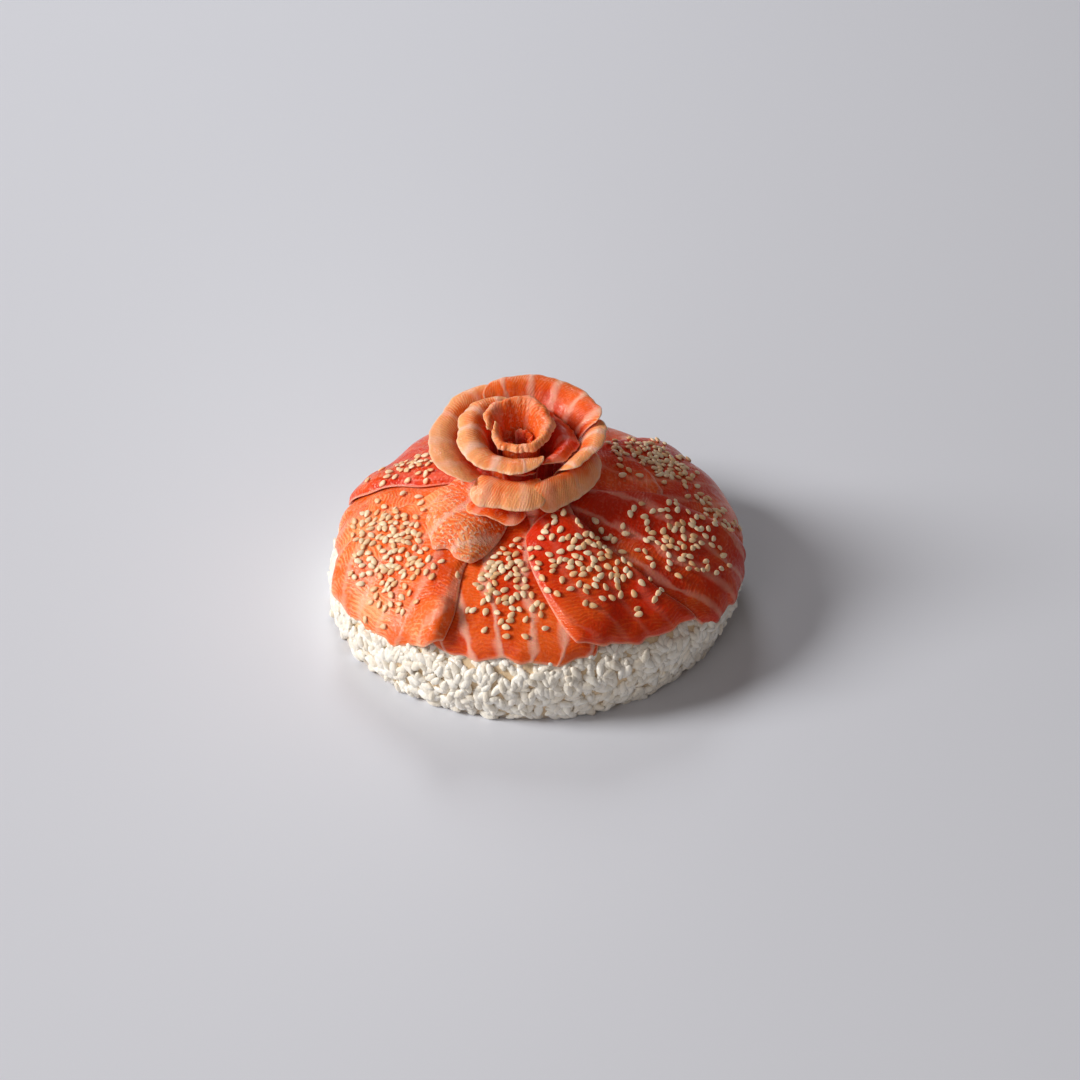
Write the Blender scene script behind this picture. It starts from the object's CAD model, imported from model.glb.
# %% [markdown]
# # A round salmon sushi cake
# A pressed disc of sushi rice is covered with overlapping slices of raw salmon, strewn with
# toasted sesame seeds and crowned with a rose of curled slices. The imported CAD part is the
# frame: every finer piece below, but for the seeds, stands in the place of one of its nodes.

import math
import random

import bmesh
import bpy
import numpy as np
from mathutils import Euler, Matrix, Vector
from mathutils.bvhtree import BVHTree


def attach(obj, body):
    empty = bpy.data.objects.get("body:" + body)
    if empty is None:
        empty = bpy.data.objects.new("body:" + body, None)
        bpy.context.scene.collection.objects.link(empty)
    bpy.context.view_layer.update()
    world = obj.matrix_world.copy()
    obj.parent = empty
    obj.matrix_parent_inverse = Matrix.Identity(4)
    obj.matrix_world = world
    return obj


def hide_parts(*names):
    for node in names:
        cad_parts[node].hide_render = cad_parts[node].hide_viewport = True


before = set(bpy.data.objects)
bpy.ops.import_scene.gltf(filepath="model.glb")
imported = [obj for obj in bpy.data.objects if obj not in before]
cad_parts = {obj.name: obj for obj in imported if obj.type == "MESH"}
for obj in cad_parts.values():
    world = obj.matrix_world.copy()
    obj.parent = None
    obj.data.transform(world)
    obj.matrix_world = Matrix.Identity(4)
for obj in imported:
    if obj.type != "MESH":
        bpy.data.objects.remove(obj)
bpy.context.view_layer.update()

# %% [markdown]
# ## The dome and its map
# Sizes are in millimetres, as in the CAD, and become metres where a point is placed. Slices
# are laid out on a flat map of the dome: a point of the map is at its true distance over the
# dome from the top, in its true direction. `lift` takes it to its place in space.

# %% Measures shared with the CAD
MM = 0.001
SEED = 20                      # of the random draws
AXIS = np.array([-4.6, -0.2])  # the middle of the disc's foot
LEAN, LEAN_HEIGHT = np.array([4.5, -2.0]), 22.0   # how far the dome leans over, and up to where
RICE_DEPTH = 2.4               # how far under the skin the rice lies
# The skin runs between the rice and the salmon's outside: its radius and height, top to floor.
SKIN_PROFILE = (
    (0, 47), (20, 47.2), (38, 46), (54, 42), (66, 35.8),
    (74.3, 28.6), (79, 21), (79.8, 12), (77.8, 0),
)


def catmull_rom(points, steps=16):
    """A smooth line through all the points."""
    points = np.array(points, float)
    line = []
    for i in range(len(points) - 1):
        a, b = points[max(i - 1, 0)], points[i]
        c, d = points[i + 1], points[min(i + 2, len(points) - 1)]
        for t in np.linspace(0, 1, steps, endpoint=False):
            line.append(0.5 * (2 * b + (c - a) * t + (2 * a - 5 * b + 4 * c - d) * t * t
                               + (3 * b - a - 3 * c + d) * t ** 3))
    return np.array(line + [points[-1]])


SKIN = catmull_rom(SKIN_PROFILE)
SKIN_LENGTH = np.r_[0, np.cumsum(np.hypot(*np.diff(SKIN, axis=0).T))]
SKIN_SLOPE = np.gradient(SKIN, SKIN_LENGTH, axis=0)


def lift(x, y, height=0.0):
    """The point in space, in millimetres, at this height above the skin over a map point."""
    x, y, height = np.broadcast_arrays(*(np.asarray(v, float) for v in (x, y, height)))
    length, angle = np.hypot(x, y), np.arctan2(y, x)
    radius, level, slope_r, slope_z = (
        np.interp(length, SKIN_LENGTH, column)
        for column in (SKIN[:, 0], SKIN[:, 1], SKIN_SLOPE[:, 0], SKIN_SLOPE[:, 1]))
    radius = radius - slope_z * height
    level = level + slope_r * height
    lean = np.clip(level / LEAN_HEIGHT, 0, 1)
    return np.stack([AXIS[0] + LEAN[0] * lean + radius * np.cos(angle),
                     AXIS[1] + LEAN[1] * lean + radius * np.sin(angle), level], -1)


print("length over the dome, top to floor:", round(float(SKIN_LENGTH[-1])), "mm")

# %% [markdown]
# ## Material helpers
# A colour is easiest to choose as sRGB hex, but shaders take linear values, so one function
# turns it. Another adds a node with its settings and links and gives back the output that the
# next step needs, so a material reads as a list of steps.

# %% Material helpers


def linear(colour):
    """A colour such as "f0a070", as sRGB hex, in the linear values that shaders take."""
    parts = [int(colour[i:i + 2], 16) / 255 for i in (0, 2, 4)]
    return [p / 12.92 if p <= 0.04045 else ((p + 0.055) / 1.055) ** 2.4 for p in parts] + [1.0]


def fill(tree, node, inputs):
    """Sets a node's sockets to values, or links other nodes' outputs to them."""
    for socket, value in inputs.items():
        if isinstance(value, bpy.types.NodeSocket):
            tree.links.new(value, node.inputs[socket])
        else:
            node.inputs[socket].default_value = value


def add_node(tree, kind, inputs=None, out=0, **settings):
    """Adds a node, and gives the output of that number or name."""
    node = tree.nodes.new("ShaderNode" + kind)
    for key, value in settings.items():
        setattr(node, key, value)
    fill(tree, node, inputs or {})
    return node.outputs[out]


def new_material(name):
    material = bpy.data.materials.new(name)
    material.use_nodes = True
    return material, material.node_tree, material.node_tree.nodes["Principled BSDF"]


print("pale orange in linear values:", [round(value, 3) for value in linear("ffaa70")])

# %% [markdown]
# ## Raw salmon
# Salmon is orange flesh in short bundles of fibres between sheets of pale fat, and a cut slice
# is wet and lets light a little way in. A photograph could be wrapped round each slice, but the
# lines would then not follow the cut. So every piece carries numbers at its points: the
# distance across the fat lines and across the fibres, how strong the fat lines are, how pale
# and how mottled the flesh is, and how far away the edge is. The material draws from them.

# %% Salmon material
FAT_SPACING = 12.0   # mm between the fat lines
FIBRE_PITCH = 1.45   # mm between the coarse fibres, which is coarser than real ones, so that they show
SMOOTH = {"interpolation_type": "SMOOTHSTEP"}


def salmon_material():
    """Raw salmon: the eye sees wet orange flesh with soft pale lines, fine fibres and thin pale edges."""
    material, tree, shader = new_material("raw_salmon")
    place = add_node(tree, "TexCoord", out="Object")
    field = {name: add_node(tree, "Attribute", out="Fac", attribute_name=name)
             for name in ("fat_mm", "fibre_mm", "fat", "tone", "mottle", "edge_mm")}
    # Noise in lumps of these sizes, in mm, each with its detail.
    lumps = {size: add_node(tree, "TexNoise", {"Vector": place, "Scale": 1 / (size * MM), "Detail": detail})
             for size, detail in ((20, 3.0), (14, 2.0), (9, 2.0), (7, 2.0), (5, 2.0), (4, 2.0), (2, 2.0),
                                  (1.3, 4.0), (0.7, 3.0))}

    # Fat lines wander a little, and are wide in some places and narrow in others.
    wander = add_node(tree, "Math", {0: lumps[14], 1: 5.0, 2: field["fat_mm"]}, operation="MULTIPLY_ADD")
    off_line = add_node(tree, "Math", {0: wander, 1: FAT_SPACING / 2}, operation="PINGPONG")
    width = add_node(tree, "MapRange", {0: lumps[9], 1: 0.35, 2: 0.65, 3: 0.9, 4: 3.0}, **SMOOTH)
    widths_off = add_node(tree, "Math", {0: off_line, 1: width}, operation="DIVIDE")
    line = add_node(tree, "MapRange", {0: widths_off, 1: 0.1, 2: 1.2, 3: 1.0, 4: 0.0}, **SMOOTH)
    fat = add_node(tree, "Math", {0: line, 1: field["fat"]}, operation="MULTIPLY")

    # Fibres lean towards the fat lines, like a feather's barbs. Fine ones lie between coarse ones.
    lean = add_node(tree, "Math", {0: off_line, 1: 0.2, 2: field["fibre_mm"]}, operation="MULTIPLY_ADD")
    threads = []
    for pitch, size, bend in ((FIBRE_PITCH, 4, 2.6), (FIBRE_PITCH / 2.3, 2, 1.0)):
        bent = add_node(tree, "Math", {0: lumps[size], 1: bend, 2: lean}, operation="MULTIPLY_ADD")
        turns = add_node(tree, "Math", {0: bent, 1: math.tau / pitch}, operation="MULTIPLY")
        swing = add_node(tree, "Math", {0: turns}, operation="SINE")
        threads.append(add_node(tree, "Math", {0: swing, 1: 0.5, 2: 0.5}, operation="MULTIPLY_ADD"))
    coarse = add_node(tree, "Math", {0: threads[0], 1: 2.0}, operation="POWER")
    fine = add_node(tree, "Math", {0: threads[1], 1: 0.3}, operation="MULTIPLY")
    fibre = add_node(tree, "Math", {0: coarse, 1: 0.7, 2: fine}, operation="MULTIPLY_ADD")
    seen = add_node(tree, "MapRange", {0: lumps[7], 1: 0.3, 2: 0.6, 3: 0.1, 4: 1.0}, **SMOOTH)
    fibre = add_node(tree, "Math", {0: fibre, 1: seen}, operation="MULTIPLY")

    # Mottling: small pale flecks where the flesh is torn.
    fleck = add_node(tree, "MapRange", {0: lumps[1.3], 1: 0.5, 2: 0.64}, **SMOOTH)
    mottle = add_node(tree, "Math", {0: fleck, 1: field["mottle"]}, operation="MULTIPLY")

    # The tone drifts from place to place, and fibres show more in pale flesh.
    drift = add_node(tree, "Math", {0: lumps[20], 1: 0.5}, operation="SUBTRACT")
    drift = add_node(tree, "Math", {0: drift, 1: 1.1, 2: field["tone"]}, operation="MULTIPLY_ADD")
    show = add_node(tree, "MapRange", {0: field["tone"], 1: 0.1, 2: 0.7, 3: 0.12, 4: 0.45}, **SMOOTH)
    above = add_node(tree, "Math", {0: fibre, 1: 0.35}, operation="SUBTRACT")
    tone = add_node(tree, "Math", {0: above, 1: show, 2: drift}, operation="MULTIPLY_ADD")

    edge = add_node(tree, "MapRange", {0: field["edge_mm"], 1: 0.0, 2: 1.4, 3: 0.42, 4: 0.0}, **SMOOTH)
    layers = (
        (add_node(tree, "MapRange", {0: tone, 1: 0.0, 2: 0.5}, **SMOOTH), "f5661f"),
        (add_node(tree, "MapRange", {0: tone, 1: 0.5, 2: 1.0}, **SMOOTH), "ffaa70"),
        (add_node(tree, "Math", {0: mottle, 1: 0.7}, operation="MULTIPLY"), "ffceb0"),
        (add_node(tree, "Math", {0: fat, 1: 0.72}, operation="MULTIPLY"), "ffc8b0"),
        (edge, "ffd8bd"),
    )
    flesh = linear("d42c06")
    for share, colour in layers:
        flesh = add_node(tree, "Mix", {0: share, 6: flesh, 7: linear(colour)}, out=2, data_type="RGBA")

    height = 0.0
    for part, share in ((fat, 0.15), (fibre, 0.10), (mottle, 0.22), (lumps[5], 0.6), (lumps[0.7], 0.16)):
        height = add_node(tree, "Math", {0: part, 1: share, 2: height}, operation="MULTIPLY_ADD")
    bump = add_node(tree, "Bump", {"Strength": 0.9, "Distance": MM, "Height": height})
    # Flesh scatters red light furthest, and a thin coat stands for the water on it.
    fill(tree, shader, {
        "Base Color": flesh, "Normal": bump, "Coat Normal": bump, "Specular IOR Level": 0.1,
        "Roughness": add_node(tree, "MapRange", {0: lumps[7], 1: 0.3, 2: 0.7, 3: 0.25, 4: 0.45}, **SMOOTH),
        "Subsurface Weight": 0.45, "Subsurface Radius": (1.0, 0.3, 0.1), "Subsurface Scale": 1.0 * MM,
        "Coat Weight": 0.4, "Coat Roughness": 0.1, "Coat IOR": 1.4})
    return material


SALMON = salmon_material()
print("material:", SALMON.name, len(SALMON.node_tree.nodes), "nodes")

# %% [markdown]
# ## Sheets
# A slice or a petal is a soft sheet of flesh under 2 mm thick. It could be dropped on the rice
# as a cloth, but the photograph shows where each one lies. So a grid primitive's points are
# moved to their places, Solidify makes it thick, and a level of subdivision rounds its edges.

# %% Sheet builder


def add_piece(name, mesh, material):
    """Puts a mesh in the scene as a piece that rides on the cake's one body."""
    item = bpy.data.objects.new(name, mesh)
    bpy.context.scene.collection.objects.link(item)
    mesh.materials.append(material)
    mesh.shade_smooth()
    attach(item, "root")
    return item


THINNING_CELLS = 3.0


def build_sheet(name, cells, place, fields, thickness, edge_share, offset):
    """place(u, v) gives points in millimetres and fields(u, v) the numbers at them.

    The free edges are thinner, by edge_share, than the sheet is a few cells inward.
    """
    bm = bmesh.new()
    bmesh.ops.create_grid(bm, x_segments=cells[0], y_segments=cells[1], size=0.5)
    u = np.array([vert.co.x + 0.5 for vert in bm.verts])
    v = np.array([vert.co.y + 0.5 for vert in bm.verts])
    spots = place(u, v)
    for vert, spot in zip(bm.verts, spots):
        vert.co = Vector(spot) * MM
    bmesh.ops.reverse_faces(bm, faces=bm.faces)
    mesh = bpy.data.meshes.new(name)
    bm.to_mesh(mesh)
    bm.free()
    for key, values in fields(u, v).items():
        layer = mesh.attributes.new(key, "FLOAT", "POINT")
        layer.data.foreach_set("value", np.broadcast_to(values, u.shape).astype(np.float32))
    item = add_piece(name, mesh, SALMON)
    group = item.vertex_groups.new(name="thick")
    cells_in = np.minimum.reduce([u, 1 - u, 1 - v]) * min(cells)
    share = np.clip(edge_share + (1 - edge_share) * cells_in / THINNING_CELLS, 0, 1)
    for index, weight in enumerate(share):
        group.add([index], float(weight), "REPLACE")
    solid = item.modifiers.new("thickness", "SOLIDIFY")
    solid.thickness = thickness * MM
    solid.offset = offset
    solid.vertex_group = group.name
    smooth = item.modifiers.new("rounding", "SUBSURF")
    smooth.levels = smooth.render_levels = 1
    return item


# %% [markdown]
# ## Salmon slices
# Eleven slices cover the cake, and each lies over the edges of those before it. They could be
# modelled one by one, but their edges would then have to be matched by hand. Here they are
# laid in the order a hand would lay them, and a map of the pile's height lets each one bend
# over those below it. Their middles span small dips, and their edges hug what is below.

# %% The slices and their looks
SLICE_THICKNESS = 1.9

# Each slice, close to the CAD's: four corners on the map, the bulges of its inner, end, outer
# and start sides, and where it stands off what is below it: the place, the height and the
# reach. The lowest slice is first, and runs in under the rose.
SLICES = {
    "slice_back": (
        ((14, -18), (-22, -17), (-55, 68), (14, 87)), (0, 2, 6, 2), ()),
    "slice_back_right": (
        ((4, 3), (-8, 10), (-2, 89), (63, 61)), (0, 2, 8, 2), ()),
    "slice_left": (
        ((-20, 6), (-20, -8), (-83, -30), (-85, 30)), (0, 2, 4, 3),
        ((-74, 0, 2.4, 7), (-78, 14, 1.8, 5), (-76, -16, 2.0, 5), (-60, 6, 1.0, 5))),
    "slice_right_back": (
        ((12, -8), (6, 12), (57, 68), (90, -4)), (0, 2, 8, 3), ((62, 34, 1.2, 12),)),
    "slice_left_back": (
        ((-12, 10), (-20, 1), (-85, 26), (-47, 73)), (0, 3, 7, 3),
        ((-62, 22, 1.6, 5), (-48, 17, 1.0, 4), (-70, 37, 1.6, 6), (-40, 30, 1.0, 6))),
    "slice_right_inner": (
        ((0, -14), (4, 12), (35, 24), (43, -12)), (0, 2, 5, 1), ((40, 12, 1.2, 7),)),
    "slice_right": (
        ((-2, -18), (10, -8), (90, -4), (68, -56)), (0, 5, 4, 6), ((80, -30, 1.0, 10),)),
    "slice_front": (
        ((-27, -10), (10, -10), (24, -79), (-45, -70)), (0, 2, 5, 1), ((-10, -76, 0.8, 10),)),
    "slice_left_front": (
        ((-28, 2), (-18, -14), (-35, -73), (-91, -24)), (0, -1, 10, 5),
        ((-38.5, -59, 5.5, 4.5), (-42, -67, 5.5, 5), (-74, -36, 1.4, 8))),
    "slice_rose_leaf": (
        ((-28, 4), (-10, -16), (-23, -41), (-43, -17)), (0, 1, 5, 1), ((-30, -28, 1.2, 7),)),
    "slice_front_right": (
        ((-7, -29), (14, -24), (64, -52), (12, -75)), (3, -5, 4, 2), ((30, -54, 0.6, 14),)),
}

# How each slice looks: the strength of its fat lines, its tone at its two sides from deep 0 to
# pale 1, how mottled it is, and how wavy its hem is, in mm.
SLICE_LOOKS = {
    "slice_back": (0.6, (0.4, 0.4), 0.1, 0.8), "slice_back_right": (0.7, (0.4, 0.3), 0.1, 0.8),
    "slice_left": (0.2, (0.6, 0.78), 0.3, 2.2), "slice_right_back": (0.35, (0.2, 0.15), 0.15, 1.0),
    "slice_left_back": (0.15, (0.22, 0.2), 0.3, 1.2), "slice_right_inner": (0.3, (0.1, 0.1), 0.2, 0.6),
    "slice_right": (0.5, (0.15, 0.05), 0.1, 1.3), "slice_front": (0.9, (0.3, 0.35), 0.08, 0.7),
    "slice_left_front": (0.45, (0.78, 0.42), 0.25, 0.8), "slice_rose_leaf": (0.9, (0.62, 0.55), 1.2, 0.9),
    "slice_front_right": (0.12, (0.25, 0.1), 0.03, 0.7),
}
print("slices, lowest first:", ", ".join(SLICES))

# %% The pile's height
DRAPE_REACH, EDGE_REACH, CELL, MAP_REACH = 6.0, 3.0, 1.5, 105.0


class StackingMap:
    """Height of the pile's top, measured from the skin, and the topmost slice, cell by cell."""

    def __init__(self):
        self.steps = int(2 * MAP_REACH / CELL) + 1
        self.top = np.full((self.steps, self.steps), -RICE_DEPTH)
        self.owner = np.full((self.steps, self.steps), -1)

    def cell(self, x, y):
        """The column and the row of map points."""
        column = np.clip(np.rint((np.asarray(x) + MAP_REACH) / CELL), 0, self.steps - 1)
        row = np.clip(np.rint((np.asarray(y) + MAP_REACH) / CELL), 0, self.steps - 1)
        return column.astype(int), row.astype(int)

    def envelope(self, reach_mm=DRAPE_REACH):
        """A smooth sheet that is nowhere lower than the pile, and spans dips up to this wide."""
        reach = int(reach_mm / CELL)
        around = range(-reach, reach + 1)
        disc = [(i, j) for i in around for j in around if i * i + j * j <= reach * reach]
        highest = np.max([np.roll(self.top, shift, (0, 1)) for shift in disc], axis=0)
        return np.mean([np.roll(highest, shift, (0, 1)) for shift in disc], axis=0)

    def sample(self, field, x, y):
        """The field at map points, taken straight between the cells."""
        u = np.clip((np.asarray(x) + MAP_REACH) / CELL, 0, self.steps - 1.001)
        v = np.clip((np.asarray(y) + MAP_REACH) / CELL, 0, self.steps - 1.001)
        i, j = u.astype(int), v.astype(int)
        u, v = u - i, v - j
        return ((field[i, j] * (1 - u) + field[i + 1, j] * u) * (1 - v)
                + (field[i, j + 1] * (1 - u) + field[i + 1, j + 1] * u) * v)

    def stamp(self, x, y, top, order):
        """Raises the pile to a new slice's top."""
        cells = self.cell(x.ravel(), y.ravel())
        np.maximum.at(self.top, cells, top.ravel())
        self.owner[cells] = order


print("map of the pile:", round(2 * MAP_REACH), "mm wide, in cells of", CELL, "mm")

# %% The outline of a slice
CORNER_ROUNDING, OUTLINE_WAVE, WAVE = 0.15, 0.7, 0.45


def side(start, end, bulge, t):
    """Points along one side of a slice, bulging to the right of the way from start to end."""
    way = (end - start) / np.linalg.norm(end - start)
    bow = 4 * bulge * t * (1 - t)
    return start + np.outer(t, end - start) + np.outer(bow, (way[1], -way[0]))


def patch(corners, bulges, u, v):
    """Map points of a slice, with u from its start side to its end side and v outward."""
    inner_start, inner_end, outer_end, outer_start = (np.array(c, float) for c in corners)
    inner_bulge, end_bulge, outer_bulge, start_bulge = bulges
    shape = u.shape
    across, along = 2 * u.ravel() - 1, 2 * v.ravel() - 1
    u = 0.5 + 0.5 * across * np.sqrt(1 - CORNER_ROUNDING * along ** 4)
    v = 0.5 + 0.5 * along * np.sqrt(1 - CORNER_ROUNDING * across ** 4)
    inner = side(inner_start, inner_end, -inner_bulge, u)
    outer = side(outer_start, outer_end, outer_bulge, u)
    start = side(inner_start, outer_start, start_bulge, v)
    end = side(inner_end, outer_end, -end_bulge, v)
    u, v = u[:, None], v[:, None]
    flat = ((1 - u) * (1 - v) * inner_start + u * (1 - v) * inner_end
            + u * v * outer_end + (1 - u) * v * outer_start)
    x, y = ((1 - v) * inner + v * outer + (1 - u) * start + u * end - flat).T
    x = x + OUTLINE_WAVE * np.sin(y / 6.1 + x / 23)
    y = y + OUTLINE_WAVE * np.sin(x / 5.3 - y / 19)
    return x.reshape(shape), y.reshape(shape)


def standing_off(x, y, lifts):
    """How far a slice stands off what is below it."""
    return sum((tall * np.exp(-((x - px) ** 2 + (y - py) ** 2) / reach ** 2)
                for px, py, tall, reach in lifts), np.zeros_like(x))


def wave(x, y, phase):
    """A slow ripple, never below zero."""
    return WAVE * (1 + np.sin(x / 7.5 + phase) * np.cos(y / 9.0 - 2 * phase))


print("slice_front is", round(math.dist(*SLICES["slice_front"][0][2:])), "mm wide at its hem")

# %% Lay the slices
SLICE_GAP = 0.15
EDGE_BAND = 9.0   # mm in from the edge over which a slice goes from hugging to spanning
HEM_WAVE, HEM_FRILL = 2.6, 1.45   # mm along the hem for a radian of its two ripples


def build_slice(name, order, pile):
    """One slice: u runs from its start side to its end side and v from the rose to its hem."""
    corners, bulges, lifts = SLICES[name]
    fat, (tone, end_tone), mottle, hem = SLICE_LOOKS[name]
    spanning, hugging = pile.envelope(), pile.envelope(EDGE_REACH)
    phase = 1.7 * order
    wide = math.dist(corners[2], corners[3])
    tall = 0.5 * (math.dist(corners[0], corners[3]) + math.dist(corners[1], corners[2]))

    def from_edge(u, v):
        return np.minimum(np.minimum(u, 1 - u) * wide, np.minimum(v, 1 - v) * tall)

    def lay(u, v):
        """Map points and heights: the middle spans what is below, and the edges hug it."""
        ripple = np.sin(u * wide / HEM_WAVE + phase) + 0.4 * np.sin(u * wide / HEM_FRILL - phase)
        x, y = patch(corners, bulges, u, v + hem * ripple * v ** 6 / tall)
        inside = np.clip(from_edge(u, v) / EDGE_BAND, 0, 1)
        inside = inside * inside * (3 - 2 * inside)
        rest = (pile.sample(hugging, x, y) * (1 - inside)
                + (pile.sample(spanning, x, y) + wave(x, y, phase)) * inside)
        off = standing_off(x, y, lifts)
        return x + 0.7 * off, y, SLICE_GAP + rest + off

    def place(u, v):
        return lift(*lay(u, v))

    def fields(u, v):
        # The fat lines spread towards the hem, and each slice has them in other places.
        across = (u - 0.5) * wide * (0.45 + 0.55 * v) + 2.5 * np.sin(v * 5 + phase)
        return {"fat_mm": across + 60 + 4 * order, "fibre_mm": v * tall, "fat": fat,
                "tone": tone + (end_tone - tone) * u + 0.18 * (v - 0.5),
                "mottle": mottle, "edge_mm": from_edge(u, v)}

    item = build_sheet(name, (48, 48), place, fields, SLICE_THICKNESS,
                       edge_share=0.18, offset=1.0)
    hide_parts(name)
    fine_u, fine_v = np.meshgrid(np.linspace(0, 1, 90), np.linspace(0, 1, 90))
    x, y, height = lay(fine_u, fine_v)
    pile.stamp(x, y, height + SLICE_THICKNESS, order)
    return item


pile = StackingMap()
slices = [build_slice(name, order, pile) for order, name in enumerate(SLICES)]
print("slices laid:", len(slices))

# %% [markdown]
# ## The salmon rose
# The rose is a tight coil with wider petals round it, whose thin rims curl outward. A long
# strip could be rolled up, but each petal here has its own height and lean. So each one is a
# span of a trumpet: it rises from a foot on the slices, past a knee, to a ragged rim. The feet
# of outer petals are further out, so the petals nest.

# %% The petals and their looks
ROSE_AXIS = np.array([-3.3, -1.0])
PETAL_THICKNESS = 1.5
PETAL_RAGGED = 0.9
PETAL_HEIGHT = 26   # mm from rim to foot, about
ROSE_STAND = 0.9
LEAST_RISE = 6.0    # mm, the least rise that a knee's height is a share of

# Each petal, close to the CAD's: its span round the rose in degrees, the radius of its foot at
# either end, the radius and the height of its rim, the knee as shares of the way out and up,
# the rise to the back, and how much its corners are cut.
PETALS = {
    "petal_heart": ((150, 470), (1.8, 3.0), (3.2, 5.4), (70.0, 72.5), (0.1, 0.9), 0.1, 0.2),
    "petal_coil": ((176, 552), (5.2, 7.4), (11.0, 14.2), (77.0, 77.0), (0.0, 1.08), 0.32, 0.15),
    "petal_ring": ((105, 303), (10.8, 10.2), (22.8, 24.0), (76.0, 73.5), (0.0, 1.32), 0.08, 0.3),
    "petal_inner_right": ((-62, 82), (12.6, 10.6), (22.0, 20.6), (70.0, 72.0), (0.0, 1.25), 0.0, 0.3),
    "petal_inner_front": ((246, 293), (12.4, 12.4), (18.5, 18.5), (67.5, 68.0), (0.3, 1.0), 0.0, 0.3),
    "petal_back": ((8, 122), (18.6, 16.4), (34.0, 31.0), (77.5, 76.0), (0.2, 0.96), 0.07, 0.25),
    "petal_left": ((112, 232), (18.6, 14.0), (33.5, 33.0), (74.5, 69.5), (0.2, 1.0), 0.07, 0.15),
    "petal_right": ((-50, 20), (17.4, 20.8), (28.0, 33.5), (71.0, 74.5), (0.2, 1.1), 0.0, 0.3),
    "petal_front": ((231, 292), (16.4, 15.4), (31.0, 30.5), (60.0, 62.0), (0.15, 3.0), 0.0, 0.12),
    "petal_front_right": ((281, 354), (20.4, 23.0), (30.5, 31.5), (57.5, 62.5), (0.1, 3.0), 0.0, 0.2),
    "petal_base": ((226, 276), (20.4, 21.2), (30.5, 29.5), (55.5, 54.0), (0.3, 0.2), 0.0, 0.3),
}

# How each petal looks, as for the slices, and how far its lip curls over, in mm.
PETAL_LOOKS = {
    "petal_heart": (0.2, 0.2, 0.3, 0.5), "petal_coil": (0.5, 0.85, 0.5, 2.2),
    "petal_ring": (1.1, 0.9, 0.4, 0.8), "petal_inner_right": (0.3, 0.2, 0.1, 0.8),
    "petal_inner_front": (0.3, 0.2, 0.1, 0.6), "petal_back": (0.9, 0.58, 0.2, 0.4),
    "petal_left": (0.5, 0.95, 0.15, 0.4), "petal_right": (1.1, 1.0, 0.3, 0.4),
    "petal_front": (0.5, 1.02, 0.15, 0.8), "petal_front_right": (0.4, 0.85, 0.15, 1.2),
    "petal_base": (0.7, 0.65, 0.5, 0.3),
}
print("petals, innermost first:", ", ".join(PETALS))

# %% Curl the petals


def build_petal(name, pile):
    """One petal: u runs round the rose and v from the foot to the rim."""
    (start, end), feet, rims, heights, knee, back_rise, cut = PETALS[name]
    fat, tone, mottle, lip = PETAL_LOOKS[name]
    centre = AXIS + ROSE_AXIS
    stand = pile.envelope()
    draw = random.Random(f"{SEED} {name}")
    ragged = [draw.uniform(0, math.tau) for _ in range(3)]
    tear = [draw.uniform(0, math.tau) for _ in range(4)]

    def floor_under(x, y):
        """Height of the pile's top under a point in space: near the top the map is the plan."""
        map_x, map_y = x - AXIS[0] - LEAN[0], y - AXIS[1] - LEAN[1]
        return lift(map_x, map_y, pile.sample(stand, map_x, map_y))[..., 2]

    def place(u, v):
        angle = np.radians(start + (end - start) * u)
        foot = feet[0] + (feet[1] - feet[0]) * u
        rim = rims[0] + (rims[1] - rims[0]) * u
        top = heights[0] + (heights[1] - heights[0]) * u
        top = top + back_rise * rim * np.sin(angle)
        rough = (np.sin(5 * angle + ragged[0]) + 0.6 * np.sin(11 * angle + ragged[1])) / 1.6
        torn = np.sin(23 * angle + tear[0]) * np.sin(9 * angle + tear[1]) + 0.5 * np.sin(41 * angle + tear[2])
        rim = rim + PETAL_RAGGED * rough + 0.22 * torn
        top = top + 0.6 * np.sin(3 * angle + ragged[2]) + 0.12 * v ** 3 * np.sin(17 * angle + tear[3])
        # The corners of a petal are rounded: it is shorter at both of its ends.
        t = v * (1 - cut * np.abs(2 * u - 1) ** 7)
        ground = floor_under(centre[0] + foot * np.cos(angle), centre[1] + foot * np.sin(angle))
        bottom = ground + ROSE_STAND
        knee_r = foot + (rim - foot) * knee[0]
        knee_z = bottom + np.maximum(top - bottom, LEAST_RISE) * knee[1]
        radius = (1 - t) ** 2 * foot + 2 * t * (1 - t) * knee_r + t * t * rim
        level = (1 - t) ** 2 * bottom + 2 * t * (1 - t) * knee_z + t * t * top
        # The lip bulges by its full height at two thirds of the way up, and then turns over.
        level = level + lip * 6.75 * t * t * (1 - t)
        x, y = centre[0] + radius * np.cos(angle), centre[1] + radius * np.sin(angle)
        return np.stack([x, y, np.maximum(level, floor_under(x, y) + ROSE_STAND)], -1)

    def fields(u, v):
        round_mm = np.radians(end - start) * u * 0.5 * (sum(rims) / 2 + sum(feet) / 2)
        rim_mm = (1 - v) * PETAL_HEIGHT
        side_mm = np.minimum(u, 1 - u) * np.radians(end - start) * sum(rims) / 2
        # Fat lines lie closer on the petals that show them most.
        closer = 1.3 if fat > 0.7 else 1
        return {"fat_mm": round_mm * closer + 40, "fibre_mm": round_mm * 1.5 + 12.8 * v,
                "fat": fat * (0.4 + 0.6 * v), "tone": tone + 0.15 - 0.9 * (1 - v) ** 0.8,
                "mottle": mottle * (1.4 - v), "edge_mm": np.minimum(rim_mm, side_mm)}

    cells = (max(30, int((end - start) * 0.7)), 18)
    item = build_sheet(name, cells, place, fields, PETAL_THICKNESS,
                       edge_share=0.25, offset=0.0)
    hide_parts(name)
    return item


petals = [build_petal(name, pile) for name in PETALS]
print("petals:", len(petals))

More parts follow.
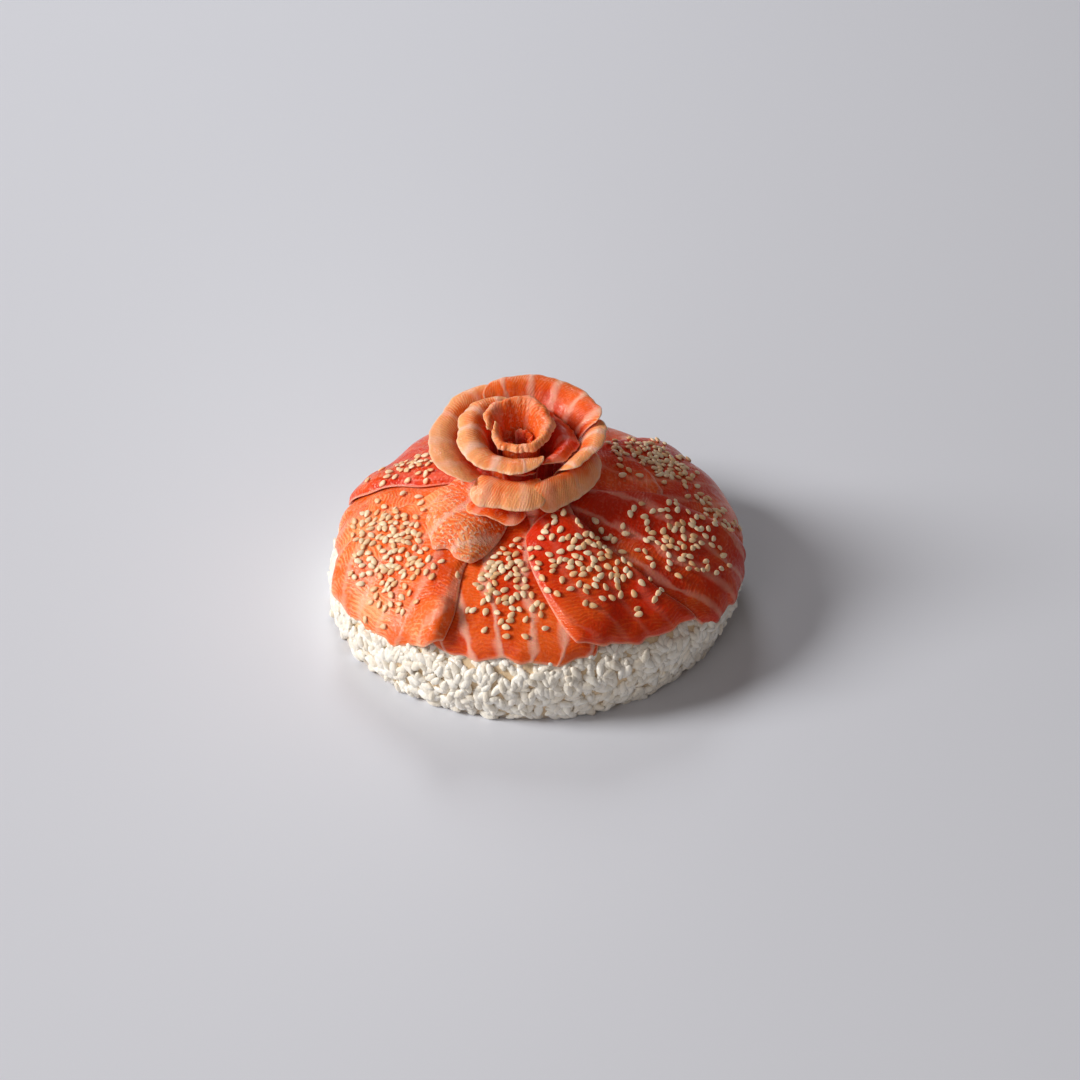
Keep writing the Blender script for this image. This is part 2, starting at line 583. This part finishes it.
# %% [markdown]
# ## Sesame seeds
# Toasted seeds are flat drops about 3 mm long, strewn thickly in some places and thinly in
# others. A particle system could scatter them, but a loop gives more control: it draws places
# round the middles of the patches, and keeps those that aren't too near another seed or a
# slice's edge. The first, wider draw follows the seeds that the CAD has, and the second fills
# in between them, where seeds may lie against each other.

# %% Strew the seeds
SEED_LENGTH, SEED_WIDTH, SEED_HEIGHT = 3.2, 2.1, 1.1
TRIES_PER_SEED, LEAST_TRIES = 40, 400

# Each patch: its middle on the map, how far it spreads, and how many seeds each draw wants.
SEED_PATCHES = (
    (-50, -28, 15, 16, 95), (-50, 17, 10, 8, 30), (-60, -8, 8, 4, 18), (-14, -42, 12, 12, 52),
    (-8, -60, 9, 5, 12), (16, -37, 12, 12, 62), (34, -52, 9, 4, 8), (50, -22, 14, 12, 62),
    (44, 27, 11, 14, 80), (68, 2, 8, 4, 18),
)


def strew(pile, spots, draw, counts, spacing, margin, spread_by, bare=-1):
    """Adds seeds to spots: this far apart, with this margin on one slice, and none on the bare one."""
    for (px, py, spread, *_), count in zip(SEED_PATCHES, counts):
        placed = 0
        for _ in range(max(TRIES_PER_SEED * count, LEAST_TRIES)):
            x, y = draw.gauss(px, spread * spread_by), draw.gauss(py, spread * spread_by)
            near = [(x + dx, y + dy) for dx in (-margin, 0, margin) for dy in (-margin, 0, margin)]
            owners = {int(pile.owner[pile.cell(*spot)]) for spot in near}
            apart = all(math.dist((x, y), other[:2]) > spacing for other in spots)
            if len(owners) == 1 and not owners & {-1, bare} and apart:
                spots.append((x, y, owners.pop(), draw.uniform(0, math.tau)))
                placed += 1
            if placed >= count:
                break


spots = []
strew(pile, spots, random.Random(SEED), [row[3] for row in SEED_PATCHES],
      spacing=4.4, margin=4, spread_by=0.6)
strew(pile, spots, random.Random(SEED + 2), [row[4] for row in SEED_PATCHES],
      spacing=1.8, margin=1.5, spread_by=0.66, bare=list(SLICES).index("slice_rose_leaf"))
print("places for seeds:", len(spots))

# %% Seed material


def seed_material():
    """Toasted sesame hulls: dull cream to tan, each seed its own shade, and darker at the tip."""
    material, tree, shader = new_material("toasted_sesame")
    place = add_node(tree, "TexCoord", out="Object")
    shade = add_node(tree, "Attribute", out="Fac", attribute_name="shade")
    tip = add_node(tree, "Attribute", out="Fac", attribute_name="tip")
    spot = add_node(tree, "TexNoise", {"Vector": place, "Scale": 1 / (1.0 * MM), "Detail": 2.0})
    layers = (
        (shade, "fff0d0"),
        (add_node(tree, "Math", {0: spot, 1: 0.4}, operation="MULTIPLY"), "d2924e"),
        (add_node(tree, "MapRange", {0: tip, 1: 0.8, 2: 1.0, 3: 0.0, 4: 0.7}, **SMOOTH), "7a4a28"),
    )
    hull = linear("f0bf8a")
    for share, colour in layers:
        hull = add_node(tree, "Mix", {0: share, 6: hull, 7: linear(colour)}, out=2, data_type="RGBA")
    fill(tree, shader, {
        "Base Color": hull, "Roughness": 0.38, "Subsurface Weight": 0.25,
        "Subsurface Radius": (1.0, 0.6, 0.3), "Subsurface Scale": 0.6 * MM})
    return material


SESAME = seed_material()
print("material:", SESAME.name)

# %% One piece of many bodies


def unit_ball(subdivisions):
    """A ball one across: its mesh, and its points."""
    bm = bmesh.new()
    bmesh.ops.create_icosphere(bm, subdivisions=subdivisions, radius=0.5)
    points = np.array([vert.co for vert in bm.verts])
    mesh = bpy.data.meshes.new("ball")
    bm.to_mesh(mesh)
    bm.free()
    return mesh, points


def many(name, ball, shapes, fields, material):
    """One piece of many copies of the ball, whose points are moved to the shapes, in millimetres."""
    bm = bmesh.new()
    for _ in shapes:
        bm.from_mesh(ball)
    mesh = bpy.data.meshes.new(name)
    bm.to_mesh(mesh)
    bm.free()
    bpy.data.meshes.remove(ball)
    mesh.vertices.foreach_set("co", (np.concatenate(shapes) * MM).astype(np.float32).ravel())
    mesh.update()
    for key, values in fields.items():
        layer = mesh.attributes.new(key, "FLOAT", "POINT")
        layer.data.foreach_set("value", np.concatenate(values).astype(np.float32))
    return add_piece(name, mesh, material)


print("faces of a ball:", [20 * 4 ** (level - 1) for level in (2, 3)])

# %% Lay the seeds on their slices


def build_seeds(spots, slices):
    """Each seed lies flat, or nearly so, where a ray towards the dome meets its slice."""
    graph = bpy.context.evaluated_depsgraph_get()
    trees = [BVHTree.FromObject(item, graph) for item in slices]
    draw = random.Random(SEED + 1)
    ball, points = unit_ball(3)
    along = 2 * points[:, 0]
    taper = 1 - 0.26 * along - 0.10 * along * along
    seed = np.stack([points[:, 0] * SEED_LENGTH, points[:, 1] * SEED_WIDTH * taper,
                     points[:, 2] * SEED_HEIGHT * (0.6 + 0.4 * taper)], -1)
    shapes, shades, tips = [], [], []
    for x, y, owner, turn in spots:
        high, low = (Vector(lift(x, y, h)) * MM for h in (14.0, -6.0))
        place, normal, _, _ = trees[owner].ray_cast(high, (low - high).normalized())
        if place is None:
            continue
        size = draw.uniform(0.88, 1.1)
        tilt = Euler((draw.gauss(0, 0.12), draw.gauss(0, 0.16), turn)).to_matrix()
        turned = np.array(normal.to_track_quat("Z", "Y").to_matrix() @ tilt)
        centre = np.array(place / MM + normal * draw.uniform(0.36, 0.6) * SEED_HEIGHT)
        shapes.append(centre + size * seed @ turned.T)
        shades.append(np.full(len(points), draw.random()))
        tips.append(np.maximum(along, 0))
    return many("sesame_seeds", ball, shapes, {"shade": shades, "tip": tips}, SESAME)


seeds = build_seeds(spots, slices)
print("seed triangles:", len(seeds.data.polygons))

# %% [markdown]
# ## Rice
# Cooked short-grain rice is pressed in a ring, so its side is a wall of single grains, each
# lying its own way. A displaced surface would look like plaster, so each grain is a small body
# of its own, bent and pressed against a core. The core shows only in the hollows between them.

# %% Rice material
GRAIN_LENGTH, GRAIN_WIDTH, GRAIN_HEIGHT = 6.8, 3.4, 2.4
GRAIN_COUNT = 2400
GRAIN_TOP = 75.5       # distance over the dome where the grains start, under the salmon's hem
DEEP_GRAINS_TO = 84    # as far as this they lie deeper, to keep clear of the salmon
GOLDEN_TURN = 0.6180339887   # of a turn from each grain to the next, which spreads them evenly
CORE_DEPTH = 3.3
CORE_SIDE = 78         # distance over the dome where the core's side starts, in closer rings
CORE_FOOT = 0.15       # how far the core's foot stands off the floor


def rice_material():
    """Cooked rice: warm white, a little glossy with starch, and browner in the core's hollows."""
    material, tree, shader = new_material("cooked_rice")
    place = add_node(tree, "TexCoord", out="Object")
    shade = add_node(tree, "Attribute", out="Fac", attribute_name="shade")
    starch = add_node(tree, "TexNoise", {"Vector": place, "Scale": 1 / (2.2 * MM), "Detail": 2.0})
    layers = (
        (add_node(tree, "MapRange", {0: shade, 1: 0.0, 2: 1.0}, **SMOOTH), "fffaf0"),
        (add_node(tree, "MapRange", {0: shade, 1: -1.0, 2: -0.5, 3: 1.0, 4: 0.0}, **SMOOTH), "e4c69c"),
        (add_node(tree, "Math", {0: starch, 1: 0.2}, operation="MULTIPLY"), "efe0c8"),
    )
    grain = linear("f6ecdb")
    for share, colour in layers:
        grain = add_node(tree, "Mix", {0: share, 6: grain, 7: linear(colour)}, out=2, data_type="RGBA")
    dents = add_node(tree, "TexNoise", {"Vector": place, "Scale": 1 / (1.6 * MM), "Detail": 2.0})
    fill(tree, shader, {
        "Base Color": grain, "Roughness": 0.3, "Coat Weight": 0.25, "Coat Roughness": 0.2,
        "Normal": add_node(tree, "Bump", {"Strength": 0.5, "Distance": MM, "Height": dents}),
        "Subsurface Weight": 0.12, "Subsurface Radius": (1.0, 0.88, 0.7), "Subsurface Scale": 0.8 * MM,
        "Sheen Weight": 0.4, "Sheen Roughness": 0.5})
    return material


RICE = rice_material()
print("material:", RICE.name)

# %% Rice core


def build_core():
    """A lathed core under the grains, closed at the foot."""
    bm = bmesh.new()
    shade = bm.verts.layers.float.new("shade")
    arcs = np.r_[np.linspace(0, CORE_SIDE, 14), np.linspace(CORE_SIDE, SKIN_LENGTH[-1], 10)[1:]]
    section = [bm.verts.new((arc * MM, 0, 0)) for arc in arcs]
    edges = [bm.edges.new(pair) for pair in zip(section, section[1:])]
    bmesh.ops.spin(bm, geom=section + edges, cent=(0, 0, 0), axis=(0, 0, 1),
                   angle=math.tau, steps=96, use_merge=True)
    bmesh.ops.remove_doubles(bm, verts=bm.verts, dist=1e-5)
    for vert in bm.verts:
        x, y = vert.co.x / MM, vert.co.y / MM
        arc = math.hypot(x, y)
        depth = np.interp(arc, (70, 82), (RICE_DEPTH, CORE_DEPTH))
        spot = lift(x, y, -depth)
        low = max(spot[2], CORE_FOOT) if arc < SKIN_LENGTH[-1] - 1 else CORE_FOOT
        vert.co = Vector((spot[0], spot[1], low)) * MM
        vert[shade] = -1.0
    bmesh.ops.contextual_create(bm, geom=[edge for edge in bm.edges if edge.is_boundary])
    bmesh.ops.recalc_face_normals(bm, faces=bm.faces)
    return bm


print("the core lies", CORE_DEPTH, "mm under the skin")

# %% Rice grains


def build_grains():
    """Grains wound evenly round the disc, at random heights, depths and turns."""
    draw = random.Random(SEED + 3)
    foot = SKIN_LENGTH[-1]
    ball, points = unit_ball(2)
    along = 2 * points[:, 0]
    shapes, shades = [], []
    for index in range(GRAIN_COUNT):
        angle = math.tau * (index * GOLDEN_TURN % 1.0)
        arc = GRAIN_TOP + (foot - GRAIN_TOP - 0.6) * draw.random()
        x, y = arc * math.cos(angle), arc * math.sin(angle)
        normal = Vector(lift(x, y, -3.0) - lift(x, y, -5.0)).normalized()
        depth = draw.uniform(1.9, 2.9) if arc > DEEP_GRAINS_TO else draw.uniform(2.9, 3.6)
        tilt = Euler((draw.gauss(0, 0.22), draw.gauss(0, 0.22), draw.uniform(0, math.tau))).to_matrix()
        turned = np.array(normal.to_track_quat("Z", "Y").to_matrix() @ tilt)
        size, bend = draw.uniform(0.82, 1.12), draw.uniform(-0.22, 0.22)
        fat = 1 - 0.22 * along * along + 0.06 * np.sin(5 * points[:, 1] + index)
        grain = np.stack([points[:, 0] * GRAIN_LENGTH,
                          (points[:, 1] * fat + bend * along * along * 0.5) * GRAIN_WIDTH,
                          points[:, 2] * fat * GRAIN_HEIGHT], -1)
        grain = lift(x, y, -RICE_DEPTH - depth + 1.9) + size * grain @ turned.T
        grain[:, 2] = np.maximum(grain[:, 2], 0.0)
        shapes.append(grain)
        shades.append(np.full(len(points), draw.random()))
    return many("rice_grains", ball, shapes, {"shade": shades}, RICE)


def build_rice():
    """The grains and the core as one piece."""
    item = build_grains()
    bm = build_core()
    bm.from_mesh(item.data)
    bm.to_mesh(item.data)
    bm.free()
    item.data.shade_smooth()
    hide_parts("rice")
    return item


rice = build_rice()
print("rice faces:", len(rice.data.polygons))

# %% [markdown]
# ## Floor, light and camera
# The cake stands on a plain pale floor. In the photograph soft light comes from the left, as
# from a window, and makes the bright left side and the broad shadow on the right. A wide light
# far off on the left stands for it, because a sun lamp would cut too sharp a shadow. A faint
# warm card in front and a small one behind lift the dark side, as a room does.

# %% Floor
bpy.ops.mesh.primitive_plane_add(size=6)
floor = bpy.context.object
floor.name = "floor"
paper, paper_tree, paper_shader = new_material("pale_paper")
# Satin paper: it mirrors nothing sharply, and shines a little where the light grazes it.
fill(paper_tree, paper_shader, {
    "Base Color": linear("d8dbe4"), "Roughness": 0.38, "Specular IOR Level": 0.35})
floor.data.materials.append(paper)
print("floor:", [round(side) for side in floor.dimensions[:2]], "metres")

# %% Light


def add_light(name, place, target, size, power, colour=(1, 1, 1)):
    data = bpy.data.lights.new(name, "AREA")
    data.shape, data.size, data.energy, data.color = "DISK", size, power, colour
    light = bpy.data.objects.new(name, data)
    light.location = place
    light.rotation_euler = (Vector(target) - Vector(place)).to_track_quat("-Z", "Y").to_euler()
    bpy.context.scene.collection.objects.link(light)
    return light


# Places and sizes are in metres, and powers in watts.
add_light("window", (-3.82, -0.35, 2.40), (0, 0, 0.03), 1.9, 222, (1.0, 0.98, 0.95))
add_light("front_card", (-0.9, -2.1, 1.4), (0, 0, 0.03), 1.2, 8, (1.0, 0.94, 0.9))
add_light("back_card", (-0.15, 0.95, 0.8), (0, 0, 0.04), 0.4, 2.4, (0.97, 0.98, 1.0))
world = bpy.data.worlds.new("pale_room")
world.use_nodes = True
fill(world.node_tree, world.node_tree.nodes["Background"], {"Color": linear("f0e2da"), "Strength": 0.135})
bpy.context.scene.world = world
bpy.context.scene.view_settings.view_transform = "Standard"
print("lights:", [light.name for light in bpy.data.lights])

# %% Camera
CAMERA_ELEVATION, CAMERA_DISTANCE = math.radians(37.0), 0.966
CAMERA_TARGET = Vector((-0.0002, -0.0002, 0.0246))
view = Vector((0, -math.cos(CAMERA_ELEVATION), math.sin(CAMERA_ELEVATION)))
camera_data = bpy.data.cameras.new("camera")
camera_data.lens, camera_data.sensor_width = 85.0, 36.0
camera = bpy.data.objects.new("camera", camera_data)
camera.location = CAMERA_TARGET + view * CAMERA_DISTANCE
camera.rotation_euler = (-view).to_track_quat("-Z", "Y").to_euler()
bpy.context.scene.collection.objects.link(camera)
bpy.context.scene.camera = camera
print("camera at", [round(v, 3) for v in camera.location])
